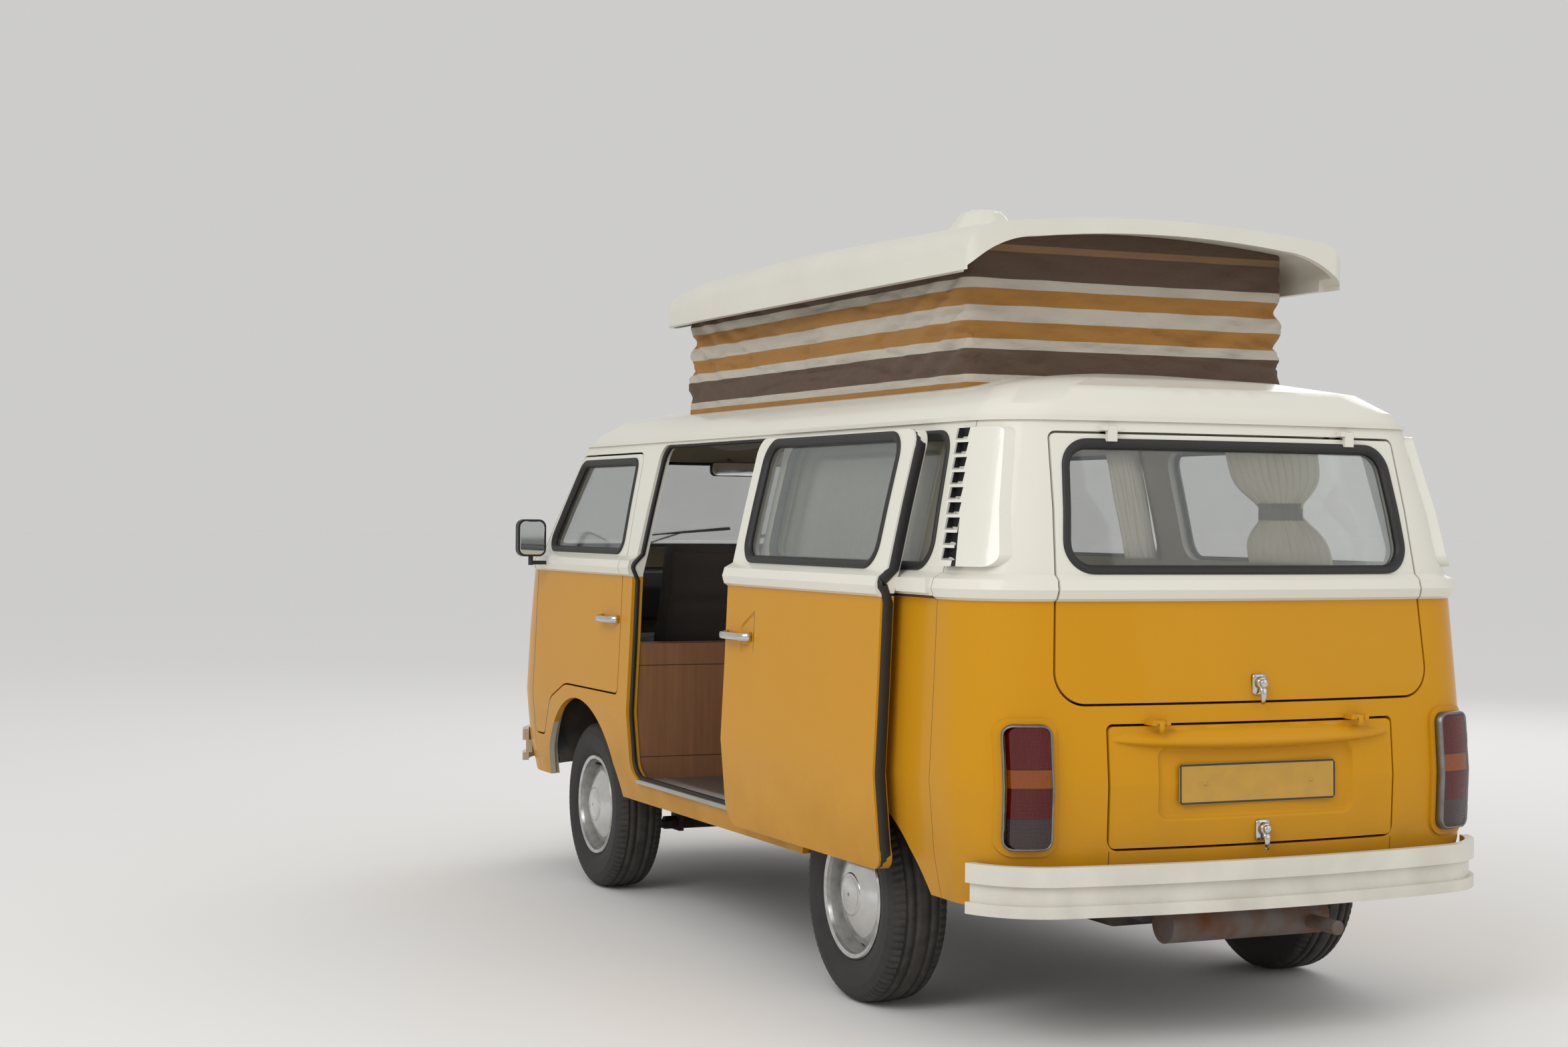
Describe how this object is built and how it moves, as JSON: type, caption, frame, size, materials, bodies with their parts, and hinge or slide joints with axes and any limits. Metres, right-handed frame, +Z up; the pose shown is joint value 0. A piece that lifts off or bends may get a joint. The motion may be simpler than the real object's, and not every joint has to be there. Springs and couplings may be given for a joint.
{
  "type": "camper van",
  "caption": "Forward-control camper van with a straight-lift canvas roof, an open sliding side door, hinged cab doors, tailgate and engine lid, and steered front wheels.",
  "frame": {"origin": "on the road, midway between the bumpers and between the sides", "axes": "+X forwards, +Y to the van's left, +Z up"},
  "size_m": [4.5153, 1.968, 2.446],
  "materials": {
    "body_paint": "gloss enamel, deep yellow below the belt and white above it",
    "white_paint": "gloss enamel, off white",
    "white_moulding": "moulded glass fibre, satin white",
    "striped_canvas": "coated cotton canvas in brown, white and orange stripes",
    "curtain_cloth": "light pleated cloth",
    "lamp_lens": "ribbed lens",
    "underbody": "black underbody paint",
    "engine_metal": "cast, dull",
    "dark_plastic": "black, matt",
    "seat_cloth": "brown woven cloth",
    "cabinet_board": "wood veneer",
    "glass": "clear",
    "tyre": "black rubber",
    "wheel_metal": "silver paint with a bright hub cap"
  },
  "bodies": {
    "van": {"front_panel": "body_paint", "rear_panel": "body_paint", "left_side": "body_paint", "right_side": "body_paint", "sliding_door": "body_paint", "roof": "white_paint", "air_intakes": "white_paint", "fresh_air_grille": "white_paint", "front_bumper": "white_paint", "rear_bumper": "white_paint", "curtains": "curtain_cloth", "tail_lamps": "lamp_lens", "front_lamps": "lamp_lens", "floor": "underbody", "front_wheel_housings": "underbody", "engine_deck": "underbody", "engine": "engine_metal", "rear_axle": "underbody", "front_axle": "underbody", "exhaust": "engine_metal", "sliding_door_runners": "underbody", "dashboard": "dark_plastic", "steering_column": "dark_plastic", "front_seats": "seat_cloth", "seat_boxes": "dark_plastic", "bench_base": "cabinet_board", "bench_cushions": "seat_cloth", "rear_mattress": "seat_cloth", "cabinets": "cabinet_board", "side_windows": "glass", "windscreen": "glass", "sliding_door_glass": "glass"},
    "left_knuckle": {"left_knuckle": "underbody"},
    "right_knuckle": {"right_knuckle": "underbody"},
    "steering_wheel": {"steering_wheel": "dark_plastic"},
    "left_cab_door": {"left_cab_door": "body_paint", "left_door_glass": "glass", "left_mirror": "dark_plastic"},
    "right_cab_door": {"right_cab_door": "body_paint", "right_door_glass": "glass", "right_mirror": "dark_plastic"},
    "tailgate": {"tailgate": "body_paint", "tailgate_glass": "glass"},
    "engine_lid": {"engine_lid": "body_paint"},
    "pop_top": {"pop_top_cap": "white_moulding", "roof_vent": "white_moulding", "pop_top_canvas": "striped_canvas"},
    "front_left_wheel": {"front_left_tyre": "tyre", "front_left_rim": "wheel_metal"},
    "front_right_wheel": {"front_right_tyre": "tyre", "front_right_rim": "wheel_metal"},
    "rear_left_wheel": {"rear_left_tyre": "tyre", "rear_left_rim": "wheel_metal"},
    "rear_right_wheel": {"rear_right_tyre": "tyre", "rear_right_rim": "wheel_metal"}
  },
  "joints": [
    {"name": "left_steer", "type": "hinge", "parent": "van", "child": "left_knuckle", "pos_m": [1.1675, 0.6355, 0.322], "axis": [0, 0, 1], "range_deg": [-32, 32]},
    {"name": "right_steer", "type": "hinge", "parent": "van", "child": "right_knuckle", "pos_m": [1.1675, -0.6355, 0.322], "axis": [0, 0, 1], "range_deg": [-32, 32]},
    {"name": "steering_wheel_turn", "type": "hinge", "parent": "van", "child": "steering_wheel", "pos_m": [1.59173, -0.385, 1.04676], "axis": [-0.4695, 0, 0.8829], "range_deg": [-470.4, 470.4]},
    {"name": "front_left_wheel_spin", "type": "hinge", "parent": "left_knuckle", "child": "front_left_wheel", "pos_m": [1.1675, 0.6975, 0.322], "axis": [0, 1, 0], "continuous": true},
    {"name": "front_right_wheel_spin", "type": "hinge", "parent": "right_knuckle", "child": "front_right_wheel", "pos_m": [1.1675, -0.6975, 0.322], "axis": [0, 1, 0], "continuous": true},
    {"name": "rear_left_wheel_spin", "type": "hinge", "parent": "van", "child": "rear_left_wheel", "pos_m": [-1.2325, 0.7275, 0.322], "axis": [0, 1, 0], "continuous": true},
    {"name": "rear_right_wheel_spin", "type": "hinge", "parent": "van", "child": "rear_right_wheel", "pos_m": [-1.2325, -0.7275, 0.322], "axis": [0, 1, 0], "continuous": true},
    {"name": "left_cab_door_hinge", "type": "hinge", "parent": "van", "child": "left_cab_door", "pos_m": [1.7145, 0.868, 1], "axis": [0, 0, -1], "range_deg": [0, 68]},
    {"name": "right_cab_door_hinge", "type": "hinge", "parent": "van", "child": "right_cab_door", "pos_m": [1.7145, -0.868, 1], "axis": [0, 0, 1], "range_deg": [0, 68]},
    {"name": "tailgate_hinge", "type": "hinge", "parent": "van", "child": "tailgate", "pos_m": [-2.0235, 0, 1.706], "axis": [0, 1, 0], "range_deg": [0, 84]},
    {"name": "engine_lid_hinge", "type": "hinge", "parent": "van", "child": "engine_lid", "pos_m": [-2.1765, 0, 0.9], "axis": [0, 1, 0], "range_deg": [0, 72]},
    {"name": "pop_top_lift", "type": "slide", "parent": "van", "child": "pop_top", "axis": [0, 0, 1], "range_m": [-0.335, 0], "deforming": ["pop_top_canvas"]}
  ],
  "couplings": [
    {"joint": "right_steer", "follows": "left_steer", "ratio": 1},
    {"joint": "steering_wheel_turn", "follows": "left_steer", "ratio": 14.7}
  ]
}
